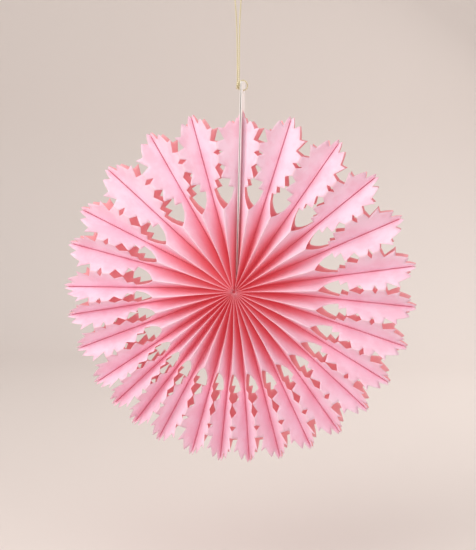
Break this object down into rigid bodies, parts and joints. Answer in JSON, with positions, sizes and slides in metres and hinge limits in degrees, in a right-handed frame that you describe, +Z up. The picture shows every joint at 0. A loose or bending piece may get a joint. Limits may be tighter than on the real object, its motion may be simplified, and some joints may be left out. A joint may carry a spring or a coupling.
{
  "type": "hanging paper fan rosette",
  "caption": "Round hanging decoration of folded and die-cut paper sleeves fanned out to a full circle, with clear strips and a thread loop.",
  "frame": {"origin": "the hanging point, inside the top of the thread's loop, straight above the middle of the fan", "axes": "+Z up, -Y towards the viewer square to the fan's front, +X to the viewer's right"},
  "size_m": [0.3552, 0.06, 0.4955],
  "materials": {
    "pink_paper": "matte",
    "clear_strip": "gloss",
    "gold_thread": "metallic thread"
  },
  "bodies": {
    "root": {"paper_cell_01": "pink_paper", "paper_cell_02": "pink_paper", "paper_cell_03": "pink_paper", "paper_cell_04": "pink_paper", "paper_cell_05": "pink_paper", "paper_cell_06": "pink_paper", "paper_cell_07": "pink_paper", "paper_cell_08": "pink_paper", "paper_cell_09": "pink_paper", "paper_cell_10": "pink_paper", "paper_cell_11": "pink_paper", "paper_cell_12": "pink_paper", "paper_cell_13": "pink_paper", "paper_cell_14": "pink_paper", "paper_cell_15": "pink_paper", "paper_cell_16": "pink_paper", "paper_cell_17": "pink_paper", "paper_cell_18": "pink_paper", "paper_cell_19": "pink_paper", "paper_cell_20": "pink_paper", "paper_cell_21": "pink_paper", "paper_cell_22": "pink_paper", "paper_cell_23": "pink_paper", "paper_cell_24": "pink_paper", "paper_cell_25": "pink_paper", "paper_cell_26": "pink_paper", "paper_cell_27": "pink_paper", "paper_cell_28": "pink_paper", "strip_left": "clear_strip", "strip_right": "clear_strip", "hanging_thread": "gold_thread"}
  },
  "joints": []
}
